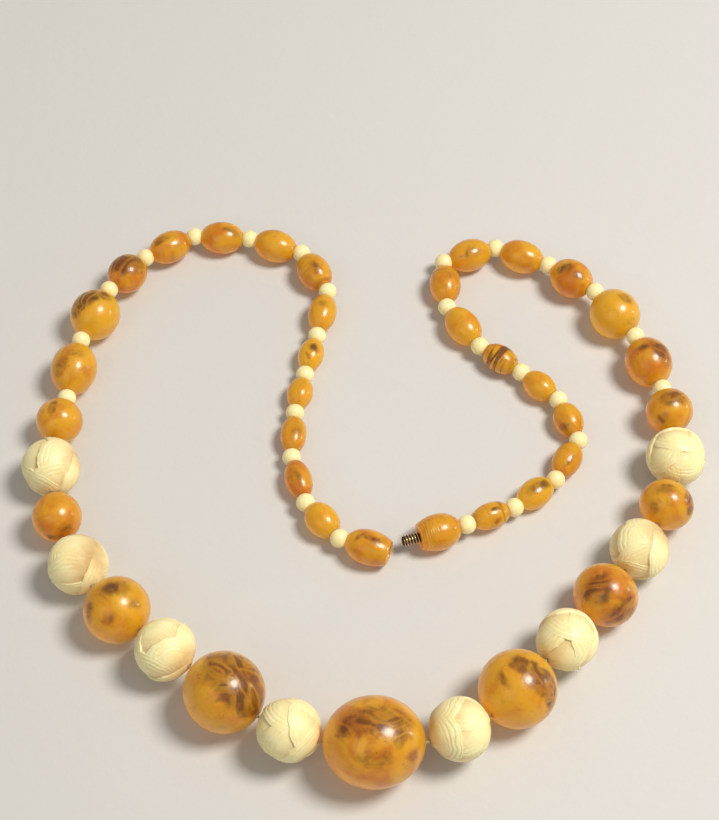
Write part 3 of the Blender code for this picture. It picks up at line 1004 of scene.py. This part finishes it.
def turned(name, outline, sectors):
    """A closed outline turned about X, with its middle at the origin."""
    length = max(along for along, _ in outline)
    bm = bmesh.new()
    rings = []
    for along, radius in outline:
        turns = [2 * PI * n / sectors for n in range(sectors)]
        rings.append([bm.verts.new((along - length / 2, radius * math.sin(a), radius * math.cos(a)))
                      for a in turns])
    for ring, following in zip(rings, rings[1:] + rings[:1]):
        for n in range(sectors):
            m = (n + 1) % sectors
            bm.faces.new((ring[n], ring[m], following[m], following[n]))
    mesh = bpy.data.meshes.new(name)
    bm.to_mesh(mesh)
    bm.free()
    mesh.shade_smooth()
    piece = bpy.data.objects.new(name, mesh)
    bpy.context.scene.collection.objects.link(piece)
    return piece


def build_pair(strand, link, way_in, way_out, joints):
    """Two spacers and the oval that spins between them. Spacers count from the centre bead."""
    side, number = link.body.split("_")[0], int(link.body.split("_")[-1])
    first, second = 2 * number - 1, 2 * number
    if side == "left":
        first, second = second, first
    strand.spacer(f"{side}_spacer_{first}", link.body, link.near, way_in)
    strand.spacer(f"{side}_spacer_{second}", link.body, link.far, way_out)
    spinning = next(j["child"] for j in joints
                    if j["parent"] == link.body and j["name"].endswith("_spin"))
    strand.oval(spinning, spinning, link)


def build_clasp(strand):
    """Both halves with their knots, the thread in the socket, and the stud."""
    socket, plug = strand.links[0], strand.links[-1]
    end = strand.clasp_half("clasp_socket_half", -socket.way, SOCKET_FLAT, SOCKET_HOLE, False)
    strand.knot("thread_knot_in_socket", "clasp_socket_half", end, SOCKET_KNOT)
    hole_radius, depth = SOCKET_HOLE
    sizes = {"Length": depth - 0.7 * MM, "Root": hole_radius - 0.06 * MM,
             "Crest": STUD_CREST + 0.12 * MM, "Bore": hole_radius - 0.02 * MM}
    inner_end = end @ Matrix.Translation((-depth + 0.3 * MM, 0, 0))
    sleeve = strand.screw("clasp_socket_thread", inner_end, sizes, "amber_honey")
    mark_bead(sleeve, "", end, np.full(3, hole_radius), strand.next_seed())
    strand.hand_over(sleeve, "clasp_socket_half", "clasp_socket_half", "amber_honey")

    end = strand.clasp_half("clasp_plug_half", plug.way, PLUG_FLAT, PLUG_SEAT, True)
    strand.knot("thread_knot_in_stud", "clasp_plug_half", end, PLUG_KNOT)
    sizes = {"Length": STUD_LENGTH, "Root": STUD_ROOT, "Crest": STUD_CREST, "Bore": STUD_BORE}
    inner_end = end @ Matrix.Translation((STUD_STANDS_OUT - STUD_LENGTH, 0, 0))
    stud = strand.screw("clasp_brass_stud", inner_end, sizes, "old_brass")
    strand.hand_over(stud, "clasp_plug_half", "clasp_screw_stud", "old_brass")


def build_strand(frame):
    """Every bead with its stretch of thread, then the clasp."""
    strand = Strand(frame)
    ways = [link.way for link in strand.links]
    shared = [(a + b).normalized() for a, b in zip(ways, ways[1:])]
    gone = 0.0
    for n, link in enumerate(strand.links):
        way_in = shared[n - 1] if n else link.way
        way_out = shared[n] if n < len(shared) else link.way
        gone += strand.thread(link, way_in, way_out, gone)
        if "carved" in link.body:
            strand.carved(link.body, link)
        elif "oval" in link.body or link.body == "centre_bead":
            strand.oval(link.body, link.body, link)
        elif "pair" in link.body:
            build_pair(strand, link, way_in, way_out, frame["joints"])
    build_clasp(strand)


# ---------------------------------------------------------------- floor, light and camera

def build_floor():
    bm = bmesh.new()
    bmesh.ops.create_grid(bm, x_segments=4, y_segments=4, size=FLOOR_HALF_SIZE)
    mesh = bpy.data.meshes.new("floor")
    bm.to_mesh(mesh)
    bm.free()
    floor = bpy.data.objects.new("floor", mesh)
    floor.data.materials.append(pale_floor())
    bpy.context.scene.collection.objects.link(floor)


def add_light(name, way, distance, size, power, colour):
    """A round soft light that shines at the strand from that way."""
    lamp = bpy.data.lights.new(name, "AREA")
    lamp.shape = "DISK"
    lamp.size = size
    lamp.energy = power
    lamp.color = colour
    light = bpy.data.objects.new(name, lamp)
    way = Vector(way).normalized()
    light.location = way * distance
    light.rotation_euler = way.to_track_quat("Z", "Y").to_euler()
    bpy.context.scene.collection.objects.link(light)


def build_light():
    world = bpy.data.worlds.new("soft studio")
    world.use_nodes = True
    background = world.node_tree.nodes["Background"]
    background.inputs["Color"].default_value = (1.0, 0.97, 0.93, 1.0)
    background.inputs["Strength"].default_value = 0.34
    bpy.context.scene.world = world
    add_light("key", KEY_WAY, distance=1.1, size=0.38, power=11.0, colour=(1.0, 0.95, 0.87))
    add_light("glint", (0.98, 0.16, 0.17), distance=0.9, size=0.06, power=0.5,
              colour=(1.0, 0.93, 0.84))
    add_light("fill", (-0.5, -0.6, 0.8), distance=1.3, size=0.9, power=1.2,
              colour=(1.0, 0.98, 0.95))
    bpy.context.scene.view_settings.view_transform = "Standard"


def build_camera():
    lens = bpy.data.cameras.new("camera")
    lens.lens = lens.sensor_width / 2 / math.tan(FIELD_HEIGHT / 2)
    camera = bpy.data.objects.new("camera", lens)
    camera.location = Vector(CAMERA_TARGET) + TO_CAMERA * CAMERA_DISTANCE
    camera.rotation_euler = TO_CAMERA.to_track_quat("Z", "Y").to_euler()
    bpy.context.scene.collection.objects.link(camera)
    bpy.context.scene.camera = camera


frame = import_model()
build_camera()
build_light()
build_floor()
build_strand(frame)
